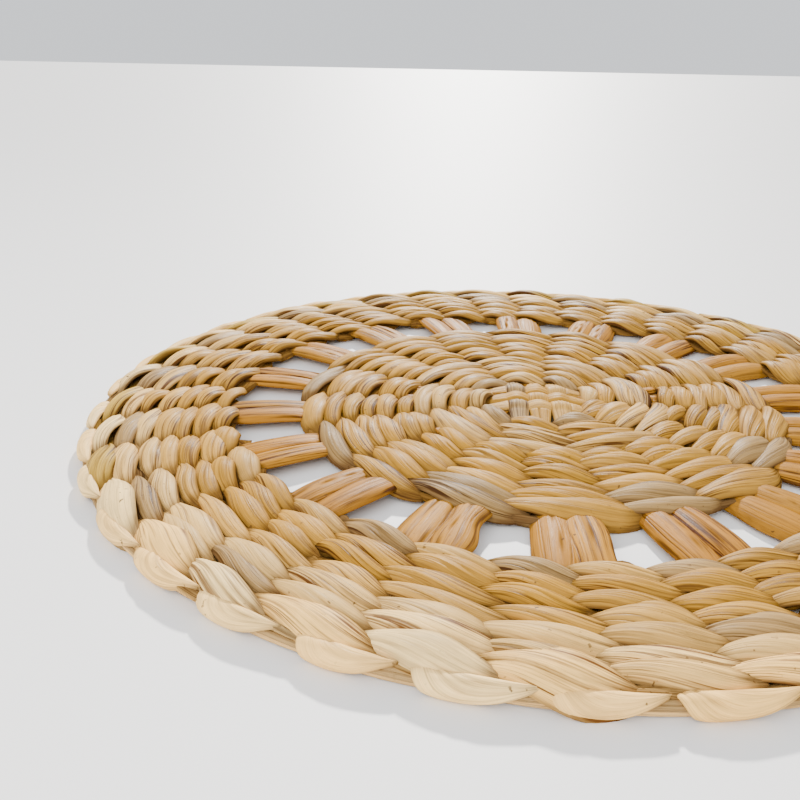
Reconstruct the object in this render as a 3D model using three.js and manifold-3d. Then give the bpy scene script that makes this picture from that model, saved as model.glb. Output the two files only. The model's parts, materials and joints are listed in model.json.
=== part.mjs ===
// Round placemat woven from flattened water hyacinth strands.
// Rows of twined weft cross radial spokes. An open ring parts the outer band
// from the inner field: there the spokes run in pairs with gaps between them.
// The strand ends turn over the rim and hold a thin cord of stems.
// Millimetres, +Z up, origin at the centre of the underside.

import * as THREE from 'three';
import { mergeVertices } from 'three/addons/utils/BufferGeometryUtils.js';
import Module from 'manifold-3d';

const wasm = await Module();
wasm.setup();

// Overall size
const DIAMETER = 370;
const THICKNESS = 9;

// Weave
const SPOKE_PAIRS = 18;
const SPOKES = SPOKE_PAIRS * 2;
const TURN = THREE.MathUtils.degToRad(-3);
const BAND_OUTER_RADIUS = 180.6;
const RING_OUTER_RADIUS = 127.5;
const RING_INNER_RADIUS = 99;
const BAND_ROWS = 7;
const FIELD_ROWS = 6;
const CORE_ROWS = 4;
const CORE_RADIUS = 53;
const EYE_RADIUS = 22;
const BAND_POINTS_PER_LOBE = 4;
const FIELD_POINTS_PER_LOBE = 3;

// Heights of the weave's surface
const SEAM_DROP = 2.2;
const VALLEY_DROP = 2.3;
const VALLEY_SEAM_DROP = 3.3;
const UNEVEN_HEIGHT = 0.8;
const UNEVEN_RADIUS = 1;
const CROWN = 0.8;
const LEAN = 2.4;
const CREST_SHARE = 0.55;

// Crossed strands that start the weave at the centre
const EYE_HEIGHT = 7;
const START_STRANDS = 3;
const START_WIDTH = 8;
const START_THICKNESS = 2.6;
const START_PITCH = 8.6;
const START_STAGGER = 0.9;

// Rim cord, and the channel under the edge wraps that it runs in
const CORD_RADIUS = 2.2;
const CORD_SIDES = 6;
const CORD_STEPS = 108;
const CORD_RING_RADIUS = 180.4;
const CORD_HEIGHT = 2.3;
const CLEARANCE = 0.3;
const CHANNEL_INSIDE = CORD_RING_RADIUS - CORD_RADIUS - CLEARANCE;
const CHANNEL_OUTSIDE = CORD_RING_RADIUS + CORD_RADIUS + CLEARANCE;
const CHANNEL_TOP = CORD_HEIGHT + CORD_RADIUS + CLEARANCE;

// Edge wraps: radius and height of each ring of the rim, at the peak of a
// wrap, at its shoulders and in the notch between two wraps. The trim is the
// share of a small wrap's shortfall that the ring takes.
const RIM_RADIUS = DIAMETER / 2;
const UNEVEN_WRAP = 0.9;
const RIM_RINGS = [
  { peak: [CHANNEL_OUTSIDE, CHANNEL_TOP], shoulder: [CHANNEL_OUTSIDE, 4.8], notch: [178.8, 4.8], trim: 0 },
  { peak: [CHANNEL_OUTSIDE, 1.4], shoulder: [CHANNEL_OUTSIDE, 4.9], notch: [178.9, 5], trim: 0 },
  { peak: [RIM_RADIUS - 1, 0.9], shoulder: [183.4, 5], notch: [179.1, 5.2], trim: 0.6 },
  { peak: [RIM_RADIUS, 4.4], shoulder: [184, 5.6], notch: [179.4, 5.6], trim: 1 },
  { peak: [RIM_RADIUS - 2, 7.2], shoulder: [182.2, 7.4], notch: [178.8, 7.2], trim: 0.7 },
];

// Spokes across the open ring
const SPOKE_WIDTH = 11.4;
const SPOKE_THICKNESS = 3;
const SPOKE_EDGE_HEIGHT = 1.2;
const SPOKE_CHAMFER = 2;
const SPOKE_REST_HEIGHT = 2.9;
const SPOKE_OFFSET_INSIDE = 5.5;
const SPOKE_OFFSET_OUTSIDE = 6.3;
const SPOKE_ROOT = 3;
const SPOKE_STAGGER = 0.2;

const WELD_DISTANCE = 1e-4;

const strandColour = new THREE.Color('#dcbf88');
const spokeColour = new THREE.Color('#c79a5c');

// Unevenness of one lobe, from -1 to 1. It repeats after half a turn, so the
// mat stays centred on its origin.
function uneven(column, row, columns) {
  const wave = Math.sin(12.9898 * (column % (columns / 2)) + 78.233 * (row + 1)) * 43758.5453;
  return 2 * (wave - Math.floor(wave)) - 1;
}

function toSolid(geometry) {
  geometry.deleteAttribute('normal');
  geometry.deleteAttribute('uv');
  const merged = mergeVertices(geometry, WELD_DISTANCE);
  const corners = merged.index.array;
  const faces = [];
  for (let first = 0; first < corners.length; first += 3) {
    const [a, b, c] = corners.slice(first, first + 3);
    if (a !== b && b !== c && c !== a) {
      faces.push(a, b, c);
    }
  }
  return new wasm.Manifold(new wasm.Mesh({
    numProp: 3,
    vertProperties: new Float32Array(merged.attributes.position.array),
    triVerts: new Uint32Array(faces),
  }));
}

function toMesh(name, solid, colour) {
  const { vertProperties, triVerts } = solid.getMesh();
  const geometry = new THREE.BufferGeometry();
  geometry.setAttribute('position', new THREE.BufferAttribute(vertProperties, 3));
  geometry.setIndex(new THREE.BufferAttribute(triVerts, 1));
  geometry.computeVertexNormals();
  const material = new THREE.MeshStandardMaterial({ color: colour, roughness: 0.62, metalness: 0 });
  const mesh = new THREE.Mesh(geometry, material);
  mesh.name = name;
  return mesh;
}

// A closed turned form whose rings follow the profile. Each ring may be
// raised, pulled out and twisted by its own relief.
function turned(profile, columns, points) {
  const segments = columns * points;
  const outline = profile.map(({ r, z }) => new THREE.Vector2(r, z));
  const geometry = new THREE.LatheGeometry(outline, segments);
  const position = geometry.attributes.position;
  for (let step = 0; step <= segments; step++) {
    const index = step % segments;
    const column = Math.floor(index / points);
    profile.forEach((ring, ringIndex) => {
      const { lift = 0, reach = 0, twist = 0 } = ring.relief?.(column, index % points, points) ?? {};
      const angle = TURN + ((index + twist) / segments) * 2 * Math.PI;
      const radius = ring.r + reach;
      const vertex = step * profile.length + ringIndex;
      position.setXYZ(vertex, radius * Math.cos(angle), radius * Math.sin(angle), ring.z + lift);
    });
  }
  return toSolid(geometry);
}

// The crest of a row: low at the seam between two lobes, high over the spoke.
function crestRing(radius, row, columns) {
  return {
    r: radius,
    z: THICKNESS,
    relief: (column, point, points) => {
      if (point === 0) {
        return { lift: -SEAM_DROP };
      }
      const wave = uneven(column, row, columns);
      const along = 2 * point / points - 1;
      return {
        lift: -CROWN * Math.abs(along) - UNEVEN_HEIGHT * (1 - Math.abs(wave)),
        reach: wave * UNEVEN_RADIUS + along * LEAN / 2,
      };
    },
  };
}

// The valley between two rows. It is turned by half a step, so that the seams
// of all the rows lean the same way.
function valleyRing(radius, row, columns) {
  return {
    r: radius,
    z: THICKNESS,
    relief: (column, point, points) => {
      const besideSeam = point === 0 || point === points - 1;
      return {
        lift: besideSeam ? -VALLEY_SEAM_DROP : -VALLEY_DROP,
        reach: uneven(column, row + 0.5, columns) * UNEVEN_RADIUS / 2,
        twist: 0.5,
      };
    },
  };
}

// Rings of a run of rows, from its outer edge inwards.
function rowRings(outerRadius, innerRadius, rows, columns) {
  const pitch = (outerRadius - innerRadius) / rows;
  const rings = [];
  for (let row = 0; row < rows; row++) {
    const start = outerRadius - row * pitch;
    if (row > 0) {
      rings.push(valleyRing(start, row, columns));
    }
    rings.push(crestRing(start - CREST_SHARE * pitch, row, columns));
  }
  return rings;
}

// A ring on the rim. It stands out at each edge wrap and draws in between.
function rimRing({ peak, shoulder, notch, trim }) {
  const stations = [peak, shoulder, notch, shoulder];
  return {
    r: 0,
    z: 0,
    relief: (column, point) => {
      const onAxis = (2 * column) % SPOKE_PAIRS === 0;
      const shortfall = onAxis ? 0 : UNEVEN_WRAP * (1 + uneven(column, -2, SPOKES)) / 2;
      const [radius, height] = stations[point];
      return { reach: point === 0 ? radius - trim * shortfall : radius, lift: height };
    },
  };
}

function outerBand() {
  const profile = [
    { r: RING_OUTER_RADIUS, z: 0 },
    { r: CHANNEL_INSIDE, z: 0 },
    { r: CHANNEL_INSIDE, z: CHANNEL_TOP },
    ...RIM_RINGS.map(rimRing),
    ...rowRings(BAND_OUTER_RADIUS - 1, RING_OUTER_RADIUS, BAND_ROWS, SPOKES),
    { r: RING_OUTER_RADIUS, z: THICKNESS - VALLEY_SEAM_DROP },
    { r: RING_OUTER_RADIUS, z: 0 },
  ];
  return turned(profile, SPOKES, BAND_POINTS_PER_LOBE);
}

function innerField() {
  const profile = [
    { r: CORE_RADIUS - 1, z: 0 },
    { r: RING_INNER_RADIUS, z: 0 },
    { r: RING_INNER_RADIUS, z: THICKNESS - VALLEY_SEAM_DROP },
    ...rowRings(RING_INNER_RADIUS, CORE_RADIUS, FIELD_ROWS, SPOKE_PAIRS),
    { r: CORE_RADIUS - 1, z: THICKNESS - VALLEY_SEAM_DROP },
    { r: CORE_RADIUS - 1, z: 0 },
  ];
  return turned(profile, SPOKE_PAIRS, FIELD_POINTS_PER_LOBE);
}

function core() {
  const profile = [
    { r: 0, z: 0 },
    { r: CORE_RADIUS, z: 0 },
    { r: CORE_RADIUS, z: THICKNESS - VALLEY_SEAM_DROP },
    ...rowRings(CORE_RADIUS, EYE_RADIUS, CORE_ROWS, SPOKE_PAIRS / 2),
    { r: EYE_RADIUS, z: EYE_HEIGHT },
    { r: 0, z: EYE_HEIGHT },
  ];
  return turned(profile, SPOKE_PAIRS / 2, FIELD_POINTS_PER_LOBE);
}

// One flat spoke across the open ring, on one side of its pair's middle line.
function spoke(pair, side) {
  const inside = RING_INNER_RADIUS - SPOKE_ROOT;
  const length = RING_OUTER_RADIUS + SPOKE_ROOT - inside;
  const edge = SPOKE_WIDTH / 2;
  const flat = edge - SPOKE_CHAMFER;
  const section = new THREE.Shape([
    new THREE.Vector2(-flat, 0),
    new THREE.Vector2(flat, 0),
    new THREE.Vector2(edge, SPOKE_EDGE_HEIGHT),
    new THREE.Vector2(flat, SPOKE_THICKNESS),
    new THREE.Vector2(-flat, SPOKE_THICKNESS),
    new THREE.Vector2(-edge, SPOKE_EDGE_HEIGHT),
  ]);
  const geometry = new THREE.ExtrudeGeometry(section, { depth: length, bevelEnabled: false });
  geometry.rotateX(Math.PI / 2);
  geometry.rotateZ(Math.PI / 2);
  const splay = Math.atan2(SPOKE_OFFSET_OUTSIDE - SPOKE_OFFSET_INSIDE, length);
  geometry.rotateZ(side * splay);
  geometry.translate(inside, side * SPOKE_OFFSET_INSIDE, SPOKE_REST_HEIGHT + SPOKE_STAGGER * side);
  geometry.rotateZ(TURN + ((pair + 0.5) / SPOKE_PAIRS) * 2 * Math.PI);
  return toSolid(geometry);
}

// One of the strands that cross at the centre. Those of one direction lie a
// little higher, and all run under the innermost row.
function startStrand(place, across) {
  const length = 2 * EYE_RADIUS;
  const geometry = new THREE.BoxGeometry(length, START_WIDTH, START_THICKNESS);
  const offset = (place - (START_STRANDS - 1) / 2) * START_PITCH;
  const stagger = across ? START_STAGGER : 0;
  geometry.translate(0, offset, THICKNESS - START_THICKNESS / 2 - START_STAGGER + stagger);
  geometry.rotateZ(TURN + (across ? Math.PI / 2 : 0));
  return toSolid(geometry);
}

function rimCord() {
  const section = [];
  for (let side = 0; side <= CORD_SIDES; side++) {
    const angle = ((side % CORD_SIDES) / CORD_SIDES) * 2 * Math.PI;
    section.push({
      r: CORD_RING_RADIUS + CORD_RADIUS * Math.cos(angle),
      z: CORD_HEIGHT + CORD_RADIUS * Math.sin(angle),
    });
  }
  return turned(section, CORD_STEPS, 1);
}

function wovenMat() {
  let mat = outerBand().add(innerField()).add(core());
  for (let pair = 0; pair < SPOKE_PAIRS; pair++) {
    for (const side of [-1, 1]) {
      mat = mat.add(spoke(pair, side));
    }
  }
  for (let place = 0; place < START_STRANDS; place++) {
    mat = mat.add(startStrand(place, false)).add(startStrand(place, true));
  }
  return mat;
}

const group = new THREE.Group();
group.add(toMesh('woven_mat', wovenMat(), strandColour));
group.add(toMesh('rim_cord', rimCord(), spokeColour));

export default group;
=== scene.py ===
"""A round placemat twined from flattened water hyacinth strands, with its stage.

Every strand is a closed mesh with its own fibre ridges, and follows the path it
takes in the weave: wefts twist round each other over and under the spokes, spokes
cross the open ring in pairs, and strand ends turn over the cord at the rim.
Metres, in the frame of the packed model.
"""

import json
import math

import bpy
import numpy as np
from bpy.props import FloatProperty, FloatVectorProperty, IntProperty, PointerProperty
from mathutils import Matrix, Vector

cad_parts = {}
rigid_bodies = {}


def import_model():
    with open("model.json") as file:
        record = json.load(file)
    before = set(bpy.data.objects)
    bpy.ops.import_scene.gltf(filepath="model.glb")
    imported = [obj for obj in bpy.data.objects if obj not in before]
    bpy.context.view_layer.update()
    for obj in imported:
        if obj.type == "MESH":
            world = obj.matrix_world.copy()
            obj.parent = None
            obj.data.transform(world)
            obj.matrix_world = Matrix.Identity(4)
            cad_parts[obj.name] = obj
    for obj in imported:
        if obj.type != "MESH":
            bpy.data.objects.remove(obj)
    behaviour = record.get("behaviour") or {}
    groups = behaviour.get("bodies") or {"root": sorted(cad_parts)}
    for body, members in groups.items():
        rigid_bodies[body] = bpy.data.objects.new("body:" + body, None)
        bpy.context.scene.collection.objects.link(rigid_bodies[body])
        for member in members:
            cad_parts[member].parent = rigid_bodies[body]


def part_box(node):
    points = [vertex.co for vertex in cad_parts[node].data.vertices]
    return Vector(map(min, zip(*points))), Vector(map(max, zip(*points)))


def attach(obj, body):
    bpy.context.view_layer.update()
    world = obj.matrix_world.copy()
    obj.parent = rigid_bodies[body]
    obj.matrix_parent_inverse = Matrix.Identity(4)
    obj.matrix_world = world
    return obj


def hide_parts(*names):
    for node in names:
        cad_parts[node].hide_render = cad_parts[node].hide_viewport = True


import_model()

bl_info = {
    "name": "Twined Water Hyacinth Placemat",
    "version": (1, 0, 0),
    "blender": (4, 5, 0),
    "location": "View3D > Sidebar > Placemat",
    "description": "Weaves a round placemat strand by strand over its plain solids",
    "category": "Object",
}

MM = 0.001
UP = np.array([0.0, 0.0, 1.0])

# Taken from the packed solids
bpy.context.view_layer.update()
MAT_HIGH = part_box("woven_mat")[1]
CORD_LOW, CORD_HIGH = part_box("rim_cord")
CORD_HALF = (CORD_HIGH.z - CORD_LOW.z) / 2
CORD_MIDDLE = (CORD_HIGH.z + CORD_LOW.z) / 2
CORD_RADIUS = CORD_HIGH.x - CORD_HALF

# Layout of the weave
TURN = math.radians(-3)
SPOKE_PAIRS = 18
SPOKES = 2 * SPOKE_PAIRS
CORE_SPOKES = SPOKE_PAIRS // 2

# Least height of a strand over the table, and the stretch of the fibres' pattern that
# strands start in
REST_SKIN = 0.02 * MM
FIBRE_STRETCH = 40

# Seeds of the random draws
BAND_SEED = 11
FIELD_SEED = 21
CORE_SEED = 31
SPOKE_SEED = 36
WRAP_SEED = 41
STEM_SEED = 51
START_SEED = 61


# Properties


def number_property(name, description, default):
    """A plain number that a user can change."""
    return FloatProperty(name=name, description=description, default=default)


def length_property(name, description, default):
    """A length that a user can change."""
    return FloatProperty(name=name, description=description, default=default, unit="LENGTH")


def angle_property(name, description, default):
    """An angle that a user can change, given in degrees."""
    turn = math.radians(default)
    return FloatProperty(name=name, description=description, default=turn, subtype="ANGLE")


def count_property(name, description, default, least):
    """A whole number that a user can change."""
    return IntProperty(name=name, description=description, default=default, min=least)


def colour_property(name, description, default):
    """A colour that a user can change."""
    return FloatVectorProperty(
        name=name, description=description, default=default, size=3, min=0, max=1, subtype="COLOR"
    )


class PlacematSizes(bpy.types.PropertyGroup):
    """Sizes of the weave"""

    rim_radius: length_property(
        "Rim radius", "From the centre to the peak of an edge wrap", MAT_HIGH.x / math.cos(TURN)
    )
    thickness: length_property("Thickness", "From the table to the top of the solid mat", MAT_HIGH.z)
    band_outer: length_property("Band outside", "Outer radius of the outer band's last row", 0.1796)
    ring_outer: length_property("Ring outside", "Outer radius of the open ring", 0.1275)
    ring_inner: length_property("Ring inside", "Inner radius of the open ring", 0.099)
    core_outer: length_property("Core outside", "Radius where the first spokes are doubled", 0.053)
    eye_radius: length_property("Eye", "Radius of the crossed strands at the centre", 0.022)
    band_rows: count_property("Band rows", "Twined rows in the outer band", 7, 5)
    field_rows: count_property("Field rows", "Twined rows between the core and the open ring", 6, 1)
    core_rows: count_property("Core rows", "Twined rows round the eye", 4, 1)


class PlacematStrands(bpy.types.PropertyGroup):
    """Shape of the strands"""

    belly_share: number_property(
        "Belly width", "Width of a weft's lobe, as a share of the row's pitch", 1.44
    )
    pinch_width: length_property(
        "Pinched width", "Width of a weft where it passes between two spokes", 0.0024
    )
    weft_thickness: length_property("Weft thickness", "Thickness of a flattened weft strand", 0.0038)
    spoke_width: length_property("Spoke width", "Width of a spoke across the open ring", 0.0108)
    spoke_thickness: length_property("Spoke thickness", "Thickness of a flattened spoke", 0.0034)
    ridge_depth: length_property("Fibre ridges", "Height of the lengthwise fibre ridges", 0.00013)
    crown: number_property(
        "Crown", "How far a lobe's edges fall below its middle, as a share of its width", 0.13
    )
    shingle: angle_property("Shingle", "Slope with which each row lies on the next one inwards", 8.5)
    rim_tilt: angle_property("Rim slope", "Slope of the last row, which rolls down over the rim", 18.5)
    twist: angle_property(
        "Twist", "How far a weft turns on edge where it passes between two spokes", 20
    )
    lean: number_property(
        "Lean", "How far a weft swings out and in as it twists, as a share of the pitch", 0.33
    )
    reach: number_property("Reach", "Length of a lobe, as a share of the distance between spokes", 1.44)


class PlacematColours(bpy.types.PropertyGroup):
    """Colours of the dried strands"""

    straw: colour_property("Straw", "Pale strands of the outer rows", (0.94, 0.59, 0.185))
    cream: colour_property("Cream", "Bleached strands", (0.96, 0.70, 0.31))
    golden: colour_property("Golden", "Warm strands of the inner rows", (0.42, 0.212, 0.018))
    olive: colour_property("Olive", "Strands with some green left", (0.46, 0.29, 0.045))
    grey: colour_property("Grey brown", "Weathered strands", (0.285, 0.18, 0.066))
    tan: colour_property("Tan", "Spokes and orange strands", (0.45, 0.195, 0.018))
    # The crease colour also serves as the painted shade under lobes, in crevices and along edges
    crease_and_shade: colour_property("Crease", "Dark lines between fibres", (0.075, 0.034, 0.012))
    stem: colour_property("Stem", "Thin stems of the rim cord", (0.80, 0.52, 0.21))


class PlacematStage(bpy.types.PropertyGroup):
    """Floor, light and camera"""

    floor_colour: colour_property("Floor", "Plain pale table", (0.80, 0.79, 0.785))
    sky_colour: colour_property("Surround", "Light all round", (0.93, 0.96, 1.0))
    sky_strength: number_property("Fill", "Strength of the light all round", 1.1)
    key_colour: colour_property("Key colour", "Light from behind", (1.0, 0.97, 0.92))
    key_strength: number_property("Key", "Strength of the light from behind", 9.0)
    key_azimuth: angle_property(
        "Key direction", "Direction that the key light comes from, round from +X", 86
    )
    key_height: angle_property("Key height", "Height of the key light over the table", 27)
    key_softness: angle_property("Key softness", "Angle that the key light fills", 3)
    front_power: number_property("Front fill", "Power of the wide light in front, in watts", 25.0)
    side_power: number_property("Side fill", "Power of the small light at the left, in watts", 2.2)
    camera_place: FloatVectorProperty(
        name="Camera", description="Camera position", default=(-0.0585, -0.3349, 0.1381),
        subtype="TRANSLATION", unit="LENGTH",
    )
    camera_pitch: angle_property("Camera pitch", "How far the camera looks down", 21.776407)
    camera_roll: angle_property("Camera roll", "Camera's turn about its own axis", 1.1370347)
    camera_lens: number_property("Lens", "Focal length for a 36 mm sensor, in millimetres", 38.07)


# Strand geometry


def frame_vectors(angle):
    """Outward and forward unit vectors at an angle round the mat."""
    zero = np.zeros_like(angle)
    outward = np.stack([np.cos(angle), np.sin(angle), zero], -1)
    forward = np.stack([-np.sin(angle), np.cos(angle), zero], -1)
    return outward, forward


def raised(outward, distance, height):
    """Places that far along outward and that high."""
    return outward * distance[..., None] + UP * height[..., None]


def weave_settings(context):
    """The groups of properties that shape and colour the weave."""
    scene = context.scene
    return scene.placemat_sizes, scene.placemat_strands, scene.placemat_colours


def radial_place(angle, radius, height, aside=0.0):
    """A place on a line from the centre, moved aside from that line if need be."""
    outward, forward = frame_vectors(float(angle))
    return outward * radius + forward * aside + UP * height


def section_loop(outer_points, inner_points):
    """Across place and side of each point of a strand's section, as one loop.

    The outer face runs from one edge to the other, and the inner face runs back.
    """
    outer = np.linspace(math.pi, 0, outer_points, endpoint=False)
    inner = np.linspace(0, -math.pi, inner_points, endpoint=False)
    turn = np.concatenate([outer, inner])
    return np.cos(turn), np.sin(turn)


def strand_points(centre, wide_way, normal, half_width, rise):
    """Points of a strand by step and place in its section."""
    wide_way, normal = np.atleast_2d(wide_way), np.atleast_2d(normal)
    points = centre[:, None, :] + wide_way[:, None, :] * half_width[..., None]
    return points + normal[:, None, :] * rise[..., None]


def held(value):
    """The value, kept between 0 and 1."""
    return np.clip(value, 0, 1)


def wander(rng, length, waves, size):
    """A smooth closed random line of that many samples, about size high."""
    along = np.linspace(0, math.tau, length, endpoint=False)
    line = np.zeros(length)
    for _ in range(3):
        wave = max(1, int(round(waves * rng.uniform(0.5, 1.5))))
        line += rng.normal(0, size / 1.7) * np.sin(wave * along + rng.uniform(0, math.tau))
    return line


def fibre_relief(rng, across, steps, strands, creases=3):
    """Height of the fibre ridges, and how dark each point is in its creases.

    Rows of the result run along the strand and columns across it.
    """
    ridge_depth, crease_width = strands.ridge_depth, 0.06
    relief = np.zeros((steps, across.size))
    for ridges in (3.4, 4.7, 5.9):
        phase = rng.uniform(0, math.tau) + wander(rng, steps, 1, 0.35)
        size = ridge_depth * rng.uniform(0.1, 0.6) * (1 + wander(rng, steps, 1.5, 0.3))
        relief += size[:, None] * np.sin(math.pi * ridges * across + phase[:, None])
    grooves = np.zeros_like(relief)
    for _ in range(creases):
        place = rng.uniform(-0.8, 0.8) + wander(rng, steps, 1, 0.05)
        depth = rng.uniform(0.5, 2.8) * np.clip(0.6 + wander(rng, steps, 1.5, 0.5), 0, 1.2)
        away = (across - place[:, None]) / crease_width
        grooves += depth[:, None] * np.exp(-(away ** 2))
    return relief - ridge_depth * grooves, held(0.28 * grooves)


def fold_relief(rng, across, steps, chance=0.3, slant=0.0):
    """Height and darkness of the deep lengthwise fold that some strands have."""
    if rng.uniform() > chance:
        return 0.0, 0.0
    place = rng.uniform(-0.45, 0.35) + wander(rng, steps, 1, 0.05)
    place = place + slant * np.linspace(-1, 1, steps)
    away = across - place[:, None]
    depth = rng.uniform(0.35, 0.8) * MM * (0.75 + wander(rng, steps, 1.5, 0.2))[:, None]
    step = 1 / (1 + np.exp(away / 0.045))
    groove = np.exp(-((away / 0.06) ** 2))
    return depth * (0.8 * step - 0.8 * groove), 0.75 * groove


def on_outer_face(height, side, sharpness=0.4):
    """Relief that only the outer face has, and that fades out towards its edges."""
    return np.where(side > 0, height * held(side) ** sharpness, 0)


class StrandBundle:
    """Collects strands, then makes them one mesh object."""

    def __init__(self, lined=1.0):
        """Starts empty. Lined says how strongly the dark fibre lines show."""
        self.lined = lined
        self.points, self.faces, self.uvs, self.colours, self.creases = [], [], [], [], []
        self.count = 0

    def add(self, rng, points, across, along, tint, crease_and_shade, flip=False, closed=False):
        """Adds a strand, by step, place in the section and axis.

        Flip turns the order round the section, so that the faces point outwards.
        """
        along = along + rng.uniform(0, FIBRE_STRETCH)
        if flip:
            points, across, crease_and_shade = points[:, ::-1], across[::-1], crease_and_shade[:, ::-1]
        steps, section, _ = points.shape
        spans = steps if closed else steps - 1
        first = np.arange(spans)
        second = (first + 1) % steps
        ring = np.arange(section)
        next_ring = (ring + 1) % section
        near, far = first[:, None] * section, second[:, None] * section
        quads = np.stack([near + ring, near + next_ring, far + next_ring, far + ring], -1)
        u = 0.5 + 0.5 * across
        v = np.append(along, 2 * along[-1] - along[-2]) if closed else along
        uv = np.empty((spans, section, 4, 2))
        uv[..., 0] = np.stack([u[ring], u[next_ring], u[next_ring], u[ring]], -1)
        uv[..., 1] = np.stack([v[first], v[first], v[first + 1], v[first + 1]], -1)[:, None, :]
        self.faces.append(quads.reshape(-1, 4) + self.count)
        self.uvs.append(uv.reshape(-1, 2))
        if not closed:
            self.cap(section, 0, u, v[0], False)
            self.cap(section, (steps - 1) * section, u, v[-1], True)
        self.points.append(points.reshape(-1, 3))
        self.colours.append(np.tile(tint, (steps * section, 1)))
        self.creases.append(crease_and_shade.reshape(-1))
        self.count += steps * section

    def cap(self, section, start, u, v, last):
        """Closes a strand's end with a strip of quads across its section."""
        near = np.arange(section // 2 - 1)
        quads = np.stack([near, section - 1 - near, section - 2 - near, near + 1], -1)
        if last:
            quads = quads[:, ::-1]
        self.faces.append(quads + start + self.count)
        self.uvs.append(np.stack([u[quads.ravel()], np.full(quads.size, v)], -1))

    def build(self, name, node="woven_mat"):
        """Makes the mesh object, gives it its material and puts it in the frame."""
        if not self.points:
            raise RuntimeError(f"no strand was laid for {name}")
        points = np.concatenate(self.points)
        points[:, 2] = np.maximum(points[:, 2], REST_SKIN)
        faces = np.concatenate(self.faces)
        mesh = bpy.data.meshes.new(name)
        mesh.vertices.add(len(points))
        mesh.vertices.foreach_set("co", points.astype(np.float32).ravel())
        mesh.loops.add(faces.size)
        mesh.loops.foreach_set("vertex_index", faces.astype(np.int32).ravel())
        mesh.polygons.add(len(faces))
        mesh.polygons.foreach_set("loop_start", np.arange(0, faces.size, 4, dtype=np.int32))
        mesh.update(calc_edges=True)
        layer = mesh.uv_layers.new(name="strand_uv")
        layer.data.foreach_set("uv", np.concatenate(self.uvs).astype(np.float32).ravel())
        colours = np.concatenate(self.colours)
        rgba = np.concatenate([colours, np.full((len(colours), 1), self.lined)], 1)
        tint = mesh.attributes.new("strand_colour", "FLOAT_COLOR", "POINT")
        tint.data.foreach_set("color", rgba.astype(np.float32).ravel())
        # Per point: dark fibre creases and painted shade
        dark = mesh.attributes.new("strand_crease_and_shade", "FLOAT", "POINT")
        dark.data.foreach_set("value", np.concatenate(self.creases).astype(np.float32))
        mesh.shade_smooth()
        mesh.materials.append(hyacinth_material())
        piece = bpy.data.objects.new(name, mesh)
        bpy.context.scene.collection.objects.link(piece)
        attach(piece, "root")
        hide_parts(node)


# Strand colours


def strand_tint(rng, colours, radius, sizes):
    """Colour of one length of strand: paler outside, more golden and darker inside, partly as painted
    shade.
    """
    # Inner rows turn golden and darker: partly the strands' own colour, partly painted shade over the
    # inner rows
    inner_tone_and_shade = held((sizes.rim_radius - 9 * MM - radius) / (21 * MM))
    pick = rng.uniform()
    straw = np.array(colours.straw)
    if pick < 0.09:
        return np.array(colours.grey) * rng.uniform(0.95, 1.45)
    if pick < 0.14:
        tint = np.array(colours.grey) * 1.6
    elif pick < 0.22:
        tint = np.array(colours.olive) * rng.uniform(1.0, 1.2)
    elif pick < 0.27:
        tint = 0.5 * straw + 0.5 * np.array(colours.tan)
    else:
        tint = pale_tint(rng, colours)
    share = np.clip(0.06 + 0.81 * inner_tone_and_shade + rng.normal(0, 0.12), 0, 0.94)
    tint = tint * (1 - share) + np.array(colours.golden) * share
    return tint * rng.uniform(0.93, 1.06)


def pale_tint(rng, colours):
    """A colour between cream and straw."""
    blend = rng.uniform()
    return np.array(colours.cream) * blend + np.array(colours.straw) * (1 - blend)


def tint_lobes(rng, colours, radius, sizes, lobes):
    """A colour for each lobe of a weft. A length of strand lasts some lobes."""
    tints = np.zeros((lobes, 3))
    at = 0
    while at < lobes:
        length = int(rng.integers(5, 13))
        tints[at:at + length] = strand_tint(rng, colours, radius, sizes)
        at += length
    return tints * rng.uniform(0.95, 1.05, (lobes, 1))


# The twined rows

# How the lobes of the two faces differ: steps along, points round the outer side, half
# of the wave that they swing through and which way, shift of their height, painted
# shade of their hidden side, and length, slope and swing as shares of a full lobe
UPPER_FACE = {
    "steps": 20, "round_points": 30, "half_wave": math.radians(136), "way": 1,
    "shift": -0.25 * MM, "hidden_side_shade": 0.5, "length": 1, "slope": 1, "swing": 1,
}
UNDERSIDE = {
    "steps": 12, "round_points": 12, "half_wave": math.radians(84), "way": -1,
    "shift": 1.5 * MM, "hidden_side_shade": 0.95, "length": 0.64, "slope": 0.4, "swing": 0.5,
}


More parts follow.
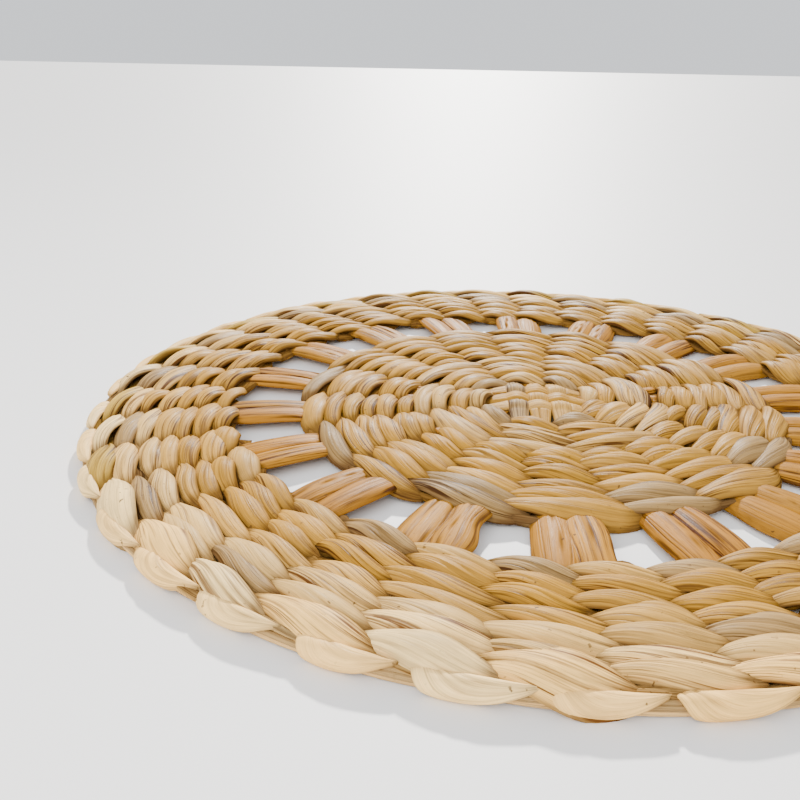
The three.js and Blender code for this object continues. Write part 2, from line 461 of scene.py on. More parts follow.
def add_lobe(bundle, rng, lobe, face, strands, tint):
    """Adds the length of a weft that shows between two seams, as a plump leaf shape.

    It rises from the inner side, passes over a spoke and dives at the outer side, so
    its two tips lie under the lobes on either hand. Below, the same is turned over.
    """
    steps = face["steps"]
    across, side = section_loop(face["round_points"], 4)
    share = np.linspace(-1, 1, steps)
    phase = face["half_wave"] * share
    ripple = wander(rng, steps, 1.2, 0.1 * MM)
    angle = lobe["angle"] + share * lobe["reach"] * lobe["span"] / 2
    radius = lobe["radius"] + lobe["lean"] * np.sin(phase) + ripple
    height = lobe["height"] + lobe["swing"] * np.cos(phase)
    tilt = lobe["tilt"] + lobe["twist"] * np.sin(phase)

    leaf = np.sin(math.pi * (0.5 + 0.5 * share) ** lobe["skew"]) ** 0.74
    tip = lobe["tip"] * (1 + 0.25 * share)
    width = tip + (lobe["width"] - tip) * leaf * (1 + wander(rng, steps, 1.5, 0.02))
    thick = lobe["thickness"] * (0.72 + 0.28 * leaf)

    outward, _ = frame_vectors(angle)
    centre = raised(outward, radius, height)
    wide_way = raised(outward, np.cos(tilt), -np.sin(tilt))
    normal = raised(outward, np.sin(tilt), np.cos(tilt))

    relief, dark = fibre_relief(rng, across, steps, strands)
    fold, fold_dark = fold_relief(rng, across, steps)
    relief = relief * (0.8 + 0.5 * (1 - leaf))[:, None] + fold
    half_width = 0.5 * width[:, None] * across
    camber = -strands.crown * width[:, None] * across ** 2
    rise = 0.5 * thick[:, None] * side + camber + on_outer_face(relief, side)
    points = strand_points(centre, wide_way, normal, half_width, rise)
    if face is UNDERSIDE:
        points[..., 2] = 2 * lobe["middle"] - points[..., 2]

    # Painted shade where the tips dive under the neighbouring lobes, along both long edges and over the
    # hidden side, added to the dark lines of the fibre creases and fold
    tucked_shade = held((np.abs(share) - 0.57) / 0.28)[:, None]
    crease_and_shade = held(dark + fold_dark) * (0.7 + 0.3 * tucked_shade) + 0.9 * tucked_shade ** 1.3
    crease_and_shade = crease_and_shade + 0.8 * np.abs(across) ** 7
    crease_and_shade = held(np.where(side > 0, crease_and_shade, face["hidden_side_shade"]))
    length = lobe["radius"] * lobe["span"] * lobe["reach"]
    along = 0.5 * length * share
    bundle.add(rng, points, across, along, tint, crease_and_shade, flip=face is UNDERSIDE)


def twined_row(bundle, rng, row, columns, sizes, strands, colours):
    """Adds the lobes of one row: its two wefts take turns to lie on top."""
    pitch = row["pitch"]
    seams = row_seams(rng, columns, row["radius"], sizes)
    middle = sizes.thickness / 2
    tints = [tint_lobes(rng, colours, row["radius"], sizes, columns + 2) for _ in range(2)]
    for column in range(columns):
        for number, face in enumerate((UPPER_FACE, UNDERSIDE)):
            wide = np.clip(rng.normal(1.02, 0.22), 0.80, 1.48)
            lobe = {
                "middle": middle,
                "angle": (seams[column] + seams[column + 1]) / 2,
                "span": seams[column + 1] - seams[column],
                "reach": strands.reach * rng.uniform(0.96, 1.06) * face["length"],
                "radius": row["radius"] + rng.normal(0, 0.12 * pitch),
                "lean": strands.lean * pitch * face["way"] * rng.uniform(0.85, 1.2),
                "height": middle + face["shift"],
                "swing": row["swing"] * face["swing"] + rng.normal(0, 0.32 * MM),
                "tilt": row["tilt"] * rng.normal(1, 0.3) * face["slope"],
                "twist": strands.twist * face["way"],
                "skew": rng.uniform(1.05, 1.45),
                "tip": strands.pinch_width * rng.uniform(0.85, 1.2),
                "width": row["width"] * wide,
                "thickness": strands.weft_thickness * rng.uniform(0.92, 1.12),
            }
            tint = tints[(column + number) % 2][column] * rng.uniform(0.95, 1.05)
            add_lobe(bundle, rng, lobe, face, strands, tint)


def row_seams(rng, columns, radius, sizes):
    """Angles of the seams between the lobes of one row, with the first again at the end.

    Outside the open ring the seams drift round a little from row to row.
    """
    band_width = sizes.rim_radius - sizes.ring_outer
    drift = math.radians(3.0) * (radius - sizes.ring_outer) / band_width
    shift = drift - math.radians(1.5) if radius > sizes.ring_outer else 0
    spacing = math.tau / columns
    loose = sizes.ring_outer < radius < sizes.band_outer - 6 * MM
    jitter = rng.normal(0, 0.07 if loose else 0.04, columns) * spacing
    seams = TURN + shift + spacing * np.arange(columns) + jitter
    return np.append(seams, seams[0] + math.tau)


def weave_rows(name, seed, rows, outer, pitch, columns, context):
    """Weaves neighbouring rows as one piece. Rows are counted from the outside."""
    sizes, strands, colours = weave_settings(context)
    if pitch <= 0:
        raise ValueError(f"{name} has no room between its radii")
    bundle = StrandBundle()
    for number in rows:
        rng = np.random.default_rng([seed, number])
        at_rim = outer == sizes.band_outer and number == 0
        row = {
            "pitch": pitch,
            "radius": outer - (number + 0.5) * pitch,
            "swing": sizes.thickness / 2 - 0.62 * strands.weft_thickness,
            "width": strands.belly_share * pitch * (1.14 if at_rim else 1),
            "tilt": strands.rim_tilt if at_rim else strands.shingle,
        }
        twined_row(bundle, rng, row, columns, sizes, strands, colours)
    bundle.build(name)


def band_pitch(sizes):
    """Width of one row of the outer band."""
    return (sizes.band_outer - sizes.ring_outer) / sizes.band_rows


class PLACEMAT_OT_weave_band(bpy.types.Operator):
    """Twines the rows of the outer band over all the spokes"""

    bl_idname = "placemat.weave_band"
    bl_label = "Weave outer band"

    def execute(self, context):
        sizes = context.scene.placemat_sizes
        outer, pitch, rows = sizes.band_outer, band_pitch(sizes), range(sizes.band_rows)
        names = ("weft_rows_outside", "weft_rows_middle", "weft_rows_inside")
        for name, numbers in zip(names, (rows[:2], rows[2:4], rows[4:])):
            weave_rows(name, BAND_SEED, numbers, outer, pitch, SPOKES, context)
        return {"FINISHED"}


class PLACEMAT_OT_weave_field(bpy.types.Operator):
    """Twines the rows inside the open ring, over pairs and then over single spokes"""

    bl_idname = "placemat.weave_field"
    bl_label = "Weave inner field"

    def execute(self, context):
        sizes = context.scene.placemat_sizes
        outer, rows = sizes.ring_inner, range(sizes.field_rows)
        pitch = (outer - sizes.core_outer) / sizes.field_rows
        weave_rows("weft_rows_field", FIELD_SEED, rows, outer, pitch, SPOKE_PAIRS, context)
        outer, rows = sizes.core_outer, range(sizes.core_rows)
        pitch = (outer - sizes.eye_radius) / sizes.core_rows
        weave_rows("weft_rows_core", CORE_SEED, rows, outer, pitch, CORE_SPOKES, context)
        return {"FINISHED"}


# Spokes


def straight_strand(
    bundle, rng, start, end, width, thickness, strands, tint,
    steps=30, bow=0.0, puff=0.0, arch=0.0, roll=0.0,
):
    """Adds one flat strand from start to end, with its broad face up.

    It may bow sideways, arch, puff up in its middle and roll about its length.
    """
    across, side = section_loop(18, 6)
    share = np.linspace(0, 1, steps)
    way = end - start
    length = np.linalg.norm(way[:2])
    sideways = np.array([-way[1], way[0], 0]) / length
    middle_share = np.sin(math.pi * share)
    centre = start + share[:, None] * way + sideways * (bow * middle_share)[:, None]
    centre[:, 2] += arch * middle_share ** 0.6
    swell = 1 + puff * middle_share
    full = width * swell * (1 + wander(rng, steps, 1.2, 0.05))
    relief, dark = fibre_relief(rng, across, steps, strands)
    fold, fold_dark = fold_relief(rng, across, steps, chance=0.7, slant=rng.uniform(-0.5, 0.5))
    dark = held(dark + fold_dark)
    half_width = 0.5 * full[:, None] * across
    camber = -0.09 * full[:, None] * across ** 2 + roll * half_width
    plump = swell * (1 - 1.4 * puff * np.cos(math.pi * share) ** 4)
    rise = 0.5 * thickness * plump[:, None] * side + camber
    rise = rise + on_outer_face(relief + fold, side)
    points = strand_points(centre, sideways, UP, half_width, rise)
    # Darker along both edges as painted shade, added to the dark fibre creases
    crease_and_shade = held(dark + 0.3 * np.abs(across) ** 6)
    bundle.add(rng, points, across, share * length, tint, crease_and_shade, flip=True)


def covered_spoke(bundle, rng, angle, inner, outer, width, context, tint):
    """Adds a thin spoke that the rows cover, from one radius to another."""
    height = context.scene.placemat_sizes.thickness / 2
    straight_strand(
        bundle, rng, radial_place(angle, inner, height), radial_place(angle, outer, height),
        width, 2.2 * MM, context.scene.placemat_strands, tint * 0.9, steps=24,
    )


class PLACEMAT_OT_lay_spokes(bpy.types.Operator):
    """Lays the flat spokes that the rows are twined over"""

    bl_idname = "placemat.lay_spokes"
    bl_label = "Lay spokes"

    def execute(self, context):
        sizes, strands, colours = weave_settings(context)
        tan, golden = np.array(colours.tan), np.array(colours.golden)
        bundle = StrandBundle()
        rng = np.random.default_rng(SPOKE_SEED)
        level = sizes.thickness / 2 - 1.7 * MM
        near_radius, near_aside = sizes.ring_inner - 10 * MM, 4.5 * MM
        far_radius, far_aside = sizes.ring_outer + 10 * MM, 5.9 * MM
        for pair in range(SPOKE_PAIRS):
            axis = TURN + math.tau * (pair + 0.5) / SPOKE_PAIRS
            for side in (-1, 1):
                blend = rng.uniform(0, 0.5)
                tint = (tan * (1 - blend) + golden * blend) * rng.uniform(0.76, 1.02)
                arch = 1.6 * MM + side * 0.5 * MM + rng.normal(0, 0.15 * MM)
                straight_strand(
                    bundle, rng,
                    radial_place(axis, near_radius, level, side * near_aside),
                    radial_place(axis, far_radius, level, side * far_aside),
                    strands.spoke_width * rng.uniform(0.98, 1.12),
                    strands.spoke_thickness, strands, tint,
                    bow=rng.normal(0, 0.5 * MM), puff=0.28, arch=arch, roll=rng.uniform(0.06, 0.15),
                )
                column = axis + side * math.pi / SPOKES
                inner, outer = sizes.ring_outer + 2 * MM, sizes.band_outer - 3 * MM
                covered_spoke(bundle, rng, column, inner, outer, 9.5 * MM, context, tint)
            inner, outer = sizes.core_outer - 3 * MM, sizes.ring_inner - 4 * MM
            covered_spoke(bundle, rng, axis, inner, outer, 9 * MM, context, tint)
        for spoke in range(CORE_SPOKES):
            axis = TURN + math.tau * (spoke + 0.5) / CORE_SPOKES
            inner, outer = sizes.eye_radius - 4 * MM, sizes.core_outer + 3 * MM
            covered_spoke(bundle, rng, axis, inner, outer, 7 * MM, context, tan)
        bundle.build("spokes")
        return {"FINISHED"}


# Edge wraps and rim cord


def bent(share, start, middle, end):
    """A smooth path from start to end that is drawn towards middle on its way."""
    return start * (1 - share) ** 2 + middle * (2 * share * (1 - share)) + end * share ** 2


def edge_wrap(bundle, rng, angle, sizes, strands, tint):
    """Adds one strand end that comes from under the last row, round the cord and in again.

    Its path is given in degrees round the mat and round the cord, for each place from
    the strand's one edge to its other.
    """
    steps = 26
    half_thickness = 1.0 * MM
    across, side = section_loop(20, 6)
    share = np.linspace(0, 1, steps)[:, None]
    edge = 0.5 - 0.5 * across
    spread = rng.normal(1, 0.07)
    start, middle, end = -4.4 + 4.0 * edge, -3.3 + 4.6 * edge, 4.9 + 0.4 * edge
    place = np.radians(bent(share, start * spread, middle * spread, end * spread))
    start, middle, end = 118 + 8 * edge, -205 + 320 * edge ** 0.8, 70 + 28 * edge
    turn = np.radians(bent(share, start, middle, end))
    bulge = np.sin(math.pi * share ** 0.85)
    reach = sizes.rim_radius - CORD_RADIUS - 0.4 * MM - abs(rng.normal(0, 0.2 * MM))
    base = CORD_HALF + 0.6 * MM
    outer_side = held(np.cos(turn - math.radians(25)))
    distance = base + (reach - base) * bulge * outer_side
    outward, _ = frame_vectors(angle + place)
    normal = raised(outward, np.cos(turn), np.sin(turn))
    relief, dark = fibre_relief(rng, across, steps, strands)
    fold, fold_dark = fold_relief(rng, across, steps, chance=0.8)
    dark = 0.5 * (dark + fold_dark)
    rise = half_thickness * side + on_outer_face(0.6 * relief + 0.7 * fold, side)
    points = outward * CORD_RADIUS + UP * CORD_MIDDLE + normal * (distance + rise)[..., None]
    # Darker along the edges and at the end that tucks under the next lobe: painted shade, added to the
    # dark fibre creases
    crease_and_shade = held(dark + 0.25 * np.abs(across) ** 6 + 0.5 * share ** 8)
    bundle.add(rng, points, across, share[:, 0] * 30 * MM, tint, crease_and_shade)


class PLACEMAT_OT_wrap_edge(bpy.types.Operator):
    """Turns the strand ends over the rim, one at each seam of the last row"""

    bl_idname = "placemat.wrap_edge"
    bl_label = "Wrap edge"

    def execute(self, context):
        sizes, strands, colours = weave_settings(context)
        bundle = StrandBundle(lined=0.35)
        rng = np.random.default_rng(WRAP_SEED)
        # The last row's own seams, from the same draws
        last_row = sizes.band_outer - band_pitch(sizes) / 2
        seams = row_seams(np.random.default_rng([BAND_SEED, 0]), SPOKES, last_row, sizes)
        for seam in seams[:-1]:
            angle = seam - math.radians(1.1) + rng.normal(0, math.radians(0.15))
            tint = pale_tint(rng, colours)
            orange = rng.uniform(0.05, 0.6)
            tint = tint * (1 - 0.3 * orange) + np.array(colours.tan) * 0.5 * orange
            edge_wrap(bundle, rng, angle, sizes, strands, tint)
        bundle.build("edge_wraps")
        return {"FINISHED"}


class PLACEMAT_OT_lay_rim_cord(bpy.types.Operator):
    """Lays the thin stems that run round the rim under the edge wraps"""

    bl_idname = "placemat.lay_rim_cord"
    bl_label = "Lay rim cord"

    def execute(self, context):
        stem_colour = np.array(context.scene.placemat_colours.stem)
        bundle = StrandBundle(lined=0.6)
        rng = np.random.default_rng(STEM_SEED)
        steps = 540
        stems = 5
        stem_radius = 0.86 * MM
        from_middle = 1.25 * MM
        section_turn = np.linspace(0, math.tau, 8, endpoint=False)
        angle = np.linspace(0, math.tau, steps, endpoint=False)
        outward, _ = frame_vectors(angle)
        section = raised(outward[:, None, :], np.cos(section_turn), np.sin(section_turn))
        # Painted shade on each stem's lower inner side, which faces the mat
        low_inner_shade = held(np.sin(section_turn))[::-1]
        crease_and_shade = np.tile(0.85 * low_inner_shade, (steps, 1))
        for number in range(stems):
            turn = math.tau * number / stems - math.radians(50) + wander(rng, steps, 12, 0.25)
            swing = from_middle * (1 + wander(rng, steps, 20, 0.08))
            radius = CORD_RADIUS + swing * np.cos(turn)
            height = CORD_MIDDLE + swing * np.sin(turn)
            size = stem_radius * (1 + wander(rng, steps, 25, 0.07))
            centre = raised(outward, radius, height)
            points = centre[:, None, :] + section * size[:, None, None]
            # The two upper stems lie in the hollow under the last row and are painted darker as shade
            shaded = number in (1, 2)
            tint = stem_colour * (rng.uniform(0.4, 0.6) if shaded else rng.uniform(0.9, 1.12))
            across, along = np.cos(section_turn), angle * CORD_RADIUS
            bundle.add(rng, points, across, along, tint, crease_and_shade, flip=True, closed=True)
        bundle.build("rim_stems", node="rim_cord")
        return {"FINISHED"}


# Centre


class PLACEMAT_OT_start_centre(bpy.types.Operator):
    """Crosses the short strands that the weave starts from"""

    bl_idname = "placemat.start_centre"
    bl_label = "Start centre"

    def execute(self, context):
        sizes, strands, colours = weave_settings(context)
        bundle = StrandBundle()
        rng = np.random.default_rng(START_SEED)
        places = 3
        pitch = 8.8 * MM
        width, half_thickness = 8.6 * MM, 1.15 * MM
        level, weave_height, end_drop = 6.3 * MM, 1.25 * MM, 2.6 * MM
        steps = 48
        length = 2 * sizes.eye_radius + 6 * MM
        across, side = section_loop(18, 6)
        run = (np.linspace(0, 1, steps) - 0.5) * length
        woven = np.abs(run) < 1.6 * pitch
        plaited = 1.5 * pitch
        fade = held((np.abs(run) - plaited) / (length / 2 - plaited))
        flat_round = half_thickness * np.abs(side) ** 0.7 * np.sign(side)
        for crossing in (0, 1):
            ahead, aside = frame_vectors(TURN + crossing * math.pi / 2)
            for place in range(places):
                wave = np.cos(math.pi * run / pitch + math.pi * (place + crossing))
                height = level + weave_height * wave * woven - end_drop * fade
                tint = strand_tint(rng, colours, sizes.eye_radius, sizes)
                full = width * (1 + wander(rng, steps, 1.5, 0.03) - 0.25 * fade)
                relief, dark = fibre_relief(rng, across, steps, strands, creases=2)
                half_width = 0.5 * full[:, None] * across
                rise = flat_round - 0.06 * full[:, None] * across ** 2
                rise = rise + on_outer_face(relief, side, 0.35)
                centre = ahead * run[:, None] + aside * (place - 1) * pitch + UP * height[:, None]
                points = strand_points(centre, aside, UP, half_width, rise)
                # Darker along both edges as painted shade, added to the dark fibre creases
                crease_and_shade = held(dark + 0.3 * np.abs(across) ** 6)
                bundle.add(rng, points, across, run, tint, crease_and_shade, flip=True)
        bundle.build("crossed_start")
        return {"FINISHED"}


# Crevices: painted shade

GRID_CELL = 0.5 * MM
GRID_REACH = 0.19


def mesh_places(mesh):
    """Places of a mesh's points, one to a row."""
    places = np.empty(len(mesh.vertices) * 3, np.float32)
    mesh.vertices.foreach_get("co", places)
    return places.reshape(-1, 3)


def grid_cells(points):
    """Column and line of the height grid that each point falls in."""
    return tuple(((points[:, axis] + GRID_REACH) / GRID_CELL).astype(int) for axis in (0, 1))


def face_samples(mesh):
    """Points spread over every face of a mesh, close enough to leave no hole in the grid."""
    corners = np.empty(len(mesh.loops), np.int32)
    mesh.loops.foreach_get("vertex_index", corners)
    quads = mesh_places(mesh)[corners.reshape(-1, 4)]
    for across in (0.0, 0.5):
        near = quads[:, 0] * (1 - across) + quads[:, 1] * across
        far = quads[:, 3] * (1 - across) + quads[:, 2] * across
        for along in (0.0, 0.2, 0.4, 0.6, 0.8):
            yield near * (1 - along) + far * along


def spread(grid, cells):
    """The highest value within some cells of each cell."""
    for _ in range(cells):
        for axis in (0, 1):
            grid = np.maximum(grid, np.maximum(np.roll(grid, 1, axis), np.roll(grid, -1, axis)))
    return grid


def painted_crevice_shade(cells, heights, near, wide):
    """Painted shade of each point, by how far its neighbours stand over it."""
    close = (near[cells] - heights - 0.75 * MM) / (1.5 * MM)
    broad = (wide[cells] - heights - 2.3 * MM) / (3.0 * MM)
    return 0.82 * held(close) + 0.25 * held(broad)


def is_strand_piece(piece):
    """Whether an object is one of the woven pieces."""
    return piece.type == "MESH" and "strand_crease_and_shade" in piece.data.attributes


class PLACEMAT_OT_shade_crevices(bpy.types.Operator):
    """Paints shade on the strands where they dip under their neighbours, on both faces of the mat"""

    bl_idname = "placemat.shade_crevices"
    bl_label = "Shade crevices"

    def execute(self, context):
        meshes = [piece.data for piece in context.scene.objects if is_strand_piece(piece)]
        if not meshes:
            raise RuntimeError("weave the mat first")
        open_rim = CORD_HIGH.x - 0.8 * MM
        count = int(2 * GRID_REACH / GRID_CELL)
        top, under = (np.full((count, count), -1.0, np.float32) for _ in range(2))
        for mesh in meshes:
            for points in face_samples(mesh):
                cells = grid_cells(points)
                np.maximum.at(top, cells, points[:, 2])
                np.maximum.at(under, cells, -points[:, 2])
        faces = [(spread(grid, 1), spread(grid, 4)) for grid in (top, under)]
        for mesh in meshes:
            places = mesh_places(mesh)
            cells = grid_cells(places)
            crevice_shades = [
                painted_crevice_shade(cells, heights, near, wide)
                for heights, (near, wide) in zip((places[:, 2], -places[:, 2]), faces)
            ]
            values = np.empty(len(places), np.float32)
            attribute = mesh.attributes["strand_crease_and_shade"]
            attribute.data.foreach_get("value", values)
            outwards = np.hypot(places[:, 0], places[:, 1])
            covered = held((open_rim - outwards) / (1.5 * MM))
            values = held(values + covered * np.minimum(*crevice_shades))
            attribute.data.foreach_set("value", values.astype(np.float32))
        return {"FINISHED"}


# Material

WARM_CAST = (1.04, 1.0, 0.95, 1)
VEIN_DARK = (0.16, 0.10, 0.06, 1)
HAIR_DARK = (0.62, 0.48, 0.34, 1)


class NodeGraph:
    """Short ways to add and link the nodes of one material."""

    def __init__(self, tree):
        """Starts with an empty node tree."""
        self.nodes = tree.nodes
        self.links = tree.links
        self.nodes.clear()

    def add(self, kind, inputs=None, **values):
        """Adds a node, sets its values, and links or sets its inputs."""
        node = self.nodes.new(kind)
        for key, value in values.items():
            setattr(node, key, value)
        for key, value in (inputs or {}).items():
            if isinstance(value, bpy.types.NodeSocket):
                self.links.new(value, node.inputs[key])
            else:
                node.inputs[key].default_value = value
        return node

    def noise(self, vector, scale, detail, roughness):
        """Noise over a vector."""
        inputs = {"Vector": vector, "Scale": scale, "Detail": detail, "Roughness": roughness}
        return self.add("ShaderNodeTexNoise", inputs).outputs["Fac"]

    def drawn_noise(self, uv, across, along, detail, roughness):
        """Noise drawn out along the strand, by its scales across and along."""
        mapping = self.add("ShaderNodeMapping", {"Vector": uv, "Scale": (across, along, 1)})
        return self.noise(mapping.outputs["Vector"], 1.0, detail, roughness)

    def ranged(self, value, low, high, to_low, to_high):
        """The value moved from one range to another, and held inside it."""
        ends = {"From Min": low, "From Max": high, "To Min": to_low, "To Max": to_high}
        return self.add("ShaderNodeMapRange", {"Value": value, **ends}).outputs["Result"]

    def maths(self, operation, first, second=0):
        """One sum on two values."""
        node = self.add("ShaderNodeMath", {0: first, 1: second}, operation=operation)
        return node.outputs["Value"]

    def multiplied(self, result, *others):
        """Several values multiplied, in the order given."""
        for value in others:
            result = self.maths("MULTIPLY", result, value)
        return result

    def off_middle(self, value):
        """How far a value is from a half, either way."""
        return self.maths("ABSOLUTE", self.maths("SUBTRACT", value, 0.5))

    def mixed(self, kind, factor, first, second):
        """Two colours mixed."""
        inputs = {0: factor, 6: first, 7: second}
        node = self.add("ShaderNodeMix", inputs, data_type="RGBA", blend_type=kind)
        return node.outputs[2]

    def darkened(self, base, share, dark):
        """The base, with a share of it times a dark colour."""
        return self.mixed("MIX", share, base, self.mixed("MULTIPLY", 1.0, base, dark))


def strand_grain(graph, uv):
    """Noises along the strand, from coarse to hair-fine, and two in space for blotches."""
    place = graph.add("ShaderNodeTexCoord").outputs["Object"]
    return {
        "coarse": graph.drawn_noise(uv, 9, 28, 3, 0.6),
        "fine": graph.drawn_noise(uv, 34, 60, 3, 0.65),
        "hair": graph.drawn_noise(uv, 80, 110, 2, 0.6),
        "vein": graph.drawn_noise(uv, 6.5, 11, 1, 0.4),
        "thread": graph.drawn_noise(uv, 15, 19, 1, 0.4),
        "wear": graph.drawn_noise(uv, 0.0, 4.0, 0, 0.5),
        "patch": graph.noise(place, 60, 4, 0.6),
        "speck": graph.noise(place, 520, 2, 0.5),
    }


def brushed_colour(graph, grain, tint):
    """The strand's own colour, lighter and darker in streaks and patches."""
    lighter = graph.ranged(grain["coarse"], 0.3, 0.72, 0.85, 1.12)
    brush = graph.ranged(grain["fine"], 0.28, 0.74, 0.88, 1.09)
    mottle = graph.ranged(grain["patch"], 0.3, 0.7, 0.9, 1.08)
    shade = graph.multiplied(lighter, brush, mottle)
    grey = graph.add("ShaderNodeCombineColor", {channel: shade for channel in range(3)})
    base = graph.mixed("MULTIPLY", 1.0, tint, WARM_CAST)
    return graph.mixed("MULTIPLY", 1.0, base, grey.outputs["Color"])


def fibre_lines(graph, grain, uv, lined):
    """Where the broad dark fibres run, and how dark all the fibre lines are."""
    broad = graph.ranged(graph.off_middle(grain["vein"]), 0.02, 0.055, 1, 0)
    thin = graph.ranged(graph.off_middle(grain["thread"]), 0.02, 0.07, 0.7, 0)
    across = graph.add("ShaderNodeSeparateXYZ", {"Vector": uv}).outputs["X"]
    fading = (
        graph.ranged(graph.off_middle(across), 0.0, 0.4, 0.5, 1.0),
        graph.ranged(grain["coarse"], 0.45, 0.56, 1.0, 0.12),
        graph.ranged(grain["wear"], 0.36, 0.6, 0.3, 1.3),
        lined,
    )
    return broad, graph.multiplied(graph.maths("MAXIMUM", broad, thin), *fading)


def hyacinth_material():
    """Dried flattened strands: fibres along the strand, dark creases with painted shade, soft waxy
    gloss.
    """
    name = "dried_hyacinth"
    if name in bpy.data.materials:
        return bpy.data.materials[name]
    material = bpy.data.materials.new(name)
    material.use_nodes = True
    graph = NodeGraph(material.node_tree)
    uv = graph.add("ShaderNodeUVMap", uv_map="strand_uv").outputs["UV"]
    strand = graph.add("ShaderNodeAttribute", attribute_name="strand_colour")
    crease_and_shade = graph.add("ShaderNodeAttribute", attribute_name="strand_crease_and_shade").outputs["Fac"]
    brown = (*bpy.context.scene.placemat_colours.crease_and_shade, 1)
    grain = strand_grain(graph, uv)

    broad_lines, line_share = fibre_lines(graph, grain, uv, strand.outputs["Alpha"])
    base = brushed_colour(graph, grain, strand.outputs["Color"])
    base = graph.darkened(base, line_share, VEIN_DARK)
    base = graph.darkened(base, graph.ranged(grain["hair"], 0.56, 0.72, 0, 0.6), HAIR_DARK)
    # Painted shade and the dark fibre creases, mixed towards the crease colour
    brushed = graph.ranged(grain["fine"], 0.3, 0.7, 0.7, 1.0)
    creased_and_shaded = graph.multiplied(graph.ranged(crease_and_shade, 0.09, 0.85, 0, 0.88), brushed)
    base = graph.mixed("MIX", creased_and_shaded, base, brown)
    patches = graph.ranged(grain["patch"], 0.48, 0.6, 0, 0.85)
    spots = graph.multiplied(graph.ranged(grain["speck"], 0.67, 0.72, 0, 1), patches)
    base = graph.mixed("MIX", spots, base, brown)

    fine, hair = graph.multiplied(grain["fine"], 0.6), graph.multiplied(grain["hair"], 0.4)
    sunk = graph.multiplied(broad_lines, 0.5)
    height = graph.maths("SUBTRACT", graph.maths("ADD", fine, hair), sunk)
    relief = {"Strength": 0.65, "Distance": 0.28 * MM, "Height": height}
    bump = graph.add("ShaderNodeBump", relief)

    gloss = graph.ranged(crease_and_shade, 0.15, 0.7, 0.05, 0.0)
    waxy = graph.ranged(grain["coarse"], 0.3, 0.7, 0.36, 0.6)
    rough = graph.maths("ADD", waxy, graph.ranged(crease_and_shade, 0.15, 0.7, 0, 0.35))
    surface = {
        "Base Color": base,
        "Specular IOR Level": gloss,
        "Roughness": rough,
        "Normal": bump.outputs["Normal"],
    }
    shader = graph.add("ShaderNodeBsdfPrincipled", surface)
    graph.add("ShaderNodeOutputMaterial", {"Surface": shader.outputs["BSDF"]})
    return material


# Stage


def plain_material(name, colour, roughness):
    """A material of one even colour."""
    material = bpy.data.materials.new(name)
    material.use_nodes = True
    shader = material.node_tree.nodes["Principled BSDF"]
    shader.inputs["Base Color"].default_value = (*colour, 1)
    shader.inputs["Roughness"].default_value = roughness
    return material


def hang_light(name, kind, strength, turn, place=(0, 0, 0)):
    """Adds a lamp and returns its light, for what only its kind has."""
    light = bpy.data.lights.new(name, kind)
    light.energy = strength
    lamp = bpy.data.objects.new(name, light)
    lamp.location = place
    lamp.rotation_euler = turn
    bpy.context.scene.collection.objects.link(lamp)
    return light


def camera_turn(pitch, roll):
    """Rotation of a camera that looks along +Y, down by pitch, rolled about its own axis."""
    ahead = Vector((0, math.cos(pitch), -math.sin(pitch)))
    above = Vector((0, math.sin(pitch), math.cos(pitch)))
    right = Vector((1, 0, 0))
    rolled_right = right * math.cos(roll) + above * math.sin(roll)
    rolled_above = above * math.cos(roll) - right * math.sin(roll)
    matrix = Matrix((rolled_right, rolled_above, -ahead)).transposed()
    return matrix.to_quaternion()


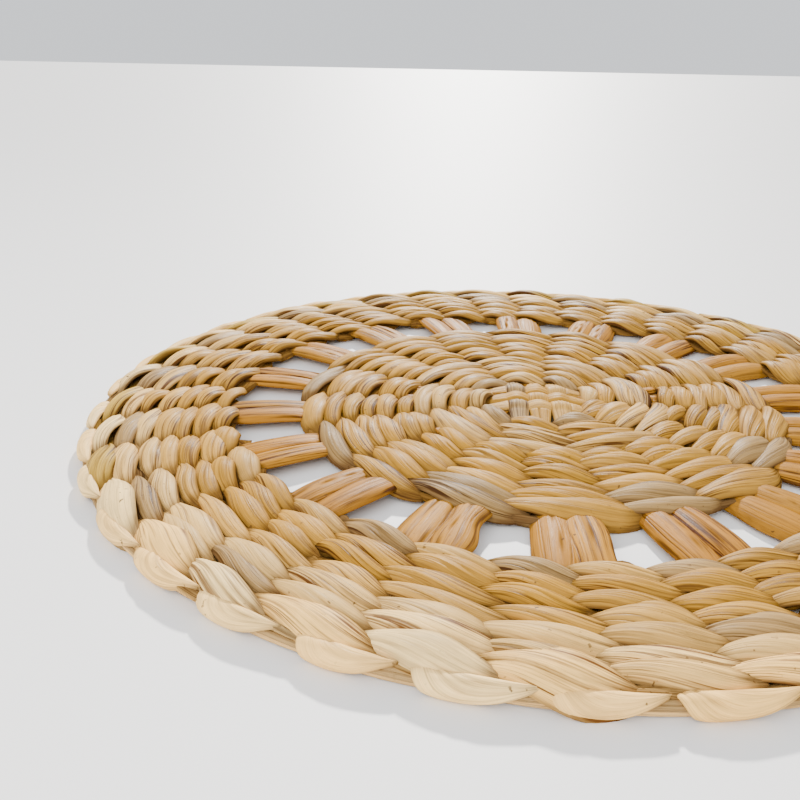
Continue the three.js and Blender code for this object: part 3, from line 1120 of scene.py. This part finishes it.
class PLACEMAT_OT_set_stage(bpy.types.Operator):
    """Sets the pale table, the soft light and the camera"""

    bl_idname = "placemat.set_stage"
    bl_label = "Set stage"

    def execute(self, context):
        stage = context.scene.placemat_stage
        bpy.ops.object.select_all(action="DESELECT")
        bpy.ops.mesh.primitive_plane_add(size=40, location=(0, 0, 0))
        floor = context.object
        floor.name = "table_top"
        floor.data.materials.append(plain_material("pale_table", stage.floor_colour, 0.6))

        world = bpy.data.worlds.new("pale_surround")
        world.use_nodes = True
        sky = world.node_tree.nodes["Background"]
        sky.inputs["Color"].default_value = (*stage.sky_colour, 1)
        sky.inputs["Strength"].default_value = stage.sky_strength
        context.scene.world = world

        key_turn = (math.pi / 2 - stage.key_height, 0, stage.key_azimuth + math.pi / 2)
        key = hang_light("key_light", "SUN", stage.key_strength, key_turn)
        key.angle = stage.key_softness
        key.color = stage.key_colour
        front_turn = (math.radians(62), 0, math.radians(-17))
        front_place = (-0.35, -1.15, 0.62)
        front = hang_light("front_fill", "AREA", stage.front_power, front_turn, front_place)
        front.size = 1.5
        side_turn = (0, math.radians(-45), math.radians(30))
        side_place = (-0.62, -0.25, 0.45)
        side = hang_light("side_fill", "AREA", stage.side_power, side_turn, side_place)
        side.size = 0.6

        camera = bpy.data.cameras.new("camera")
        camera.lens = stage.camera_lens
        camera.sensor_width = 36
        camera.clip_start = 0.01
        eye = bpy.data.objects.new("camera", camera)
        context.scene.collection.objects.link(eye)
        eye.location = stage.camera_place
        eye.rotation_mode = "QUATERNION"
        eye.rotation_quaternion = camera_turn(stage.camera_pitch, stage.camera_roll)
        context.scene.camera = eye
        return {"FINISHED"}


# Panel and registration


class VIEW3D_PT_placemat(bpy.types.Panel):
    """Lists the placemat's properties and the steps of weaving it"""

    bl_label = "Placemat"
    bl_idname = "VIEW3D_PT_placemat"
    bl_space_type = "VIEW_3D"
    bl_region_type = "UI"
    bl_category = "Placemat"

    def draw(self, context):
        for name, group in GROUPS.items():
            self.layout.label(text=group.__doc__)
            for key in group.__annotations__:
                self.layout.prop(getattr(context.scene, name), key)
        for operator in OPERATORS:
            self.layout.operator(operator.bl_idname)


GROUPS = {
    "placemat_sizes": PlacematSizes,
    "placemat_strands": PlacematStrands,
    "placemat_colours": PlacematColours,
    "placemat_stage": PlacematStage,
}
OPERATORS = (
    PLACEMAT_OT_set_stage,
    PLACEMAT_OT_lay_spokes,
    PLACEMAT_OT_weave_band,
    PLACEMAT_OT_weave_field,
    PLACEMAT_OT_start_centre,
    PLACEMAT_OT_lay_rim_cord,
    PLACEMAT_OT_wrap_edge,
    PLACEMAT_OT_shade_crevices,
)


def register():
    """Registers the properties, the operators and the panel."""
    for name, group in GROUPS.items():
        bpy.utils.register_class(group)
        setattr(bpy.types.Scene, name, PointerProperty(type=group))
    for operator in OPERATORS:
        bpy.utils.register_class(operator)
    bpy.utils.register_class(VIEW3D_PT_placemat)


def unregister():
    """Takes the panel, the operators and the properties away again."""
    bpy.utils.unregister_class(VIEW3D_PT_placemat)
    for operator in reversed(OPERATORS):
        bpy.utils.unregister_class(operator)
    for name, group in GROUPS.items():
        delattr(bpy.types.Scene, name)
        bpy.utils.unregister_class(group)


def main():
    """Weaves the placemat on its stage."""
    register()
    bpy.ops.placemat.set_stage()
    bpy.ops.placemat.lay_spokes()
    bpy.ops.placemat.weave_band()
    bpy.ops.placemat.weave_field()
    bpy.ops.placemat.start_centre()
    bpy.ops.placemat.lay_rim_cord()
    bpy.ops.placemat.wrap_edge()
    bpy.ops.placemat.shade_crevices()


if __name__ == "__main__":
    main()
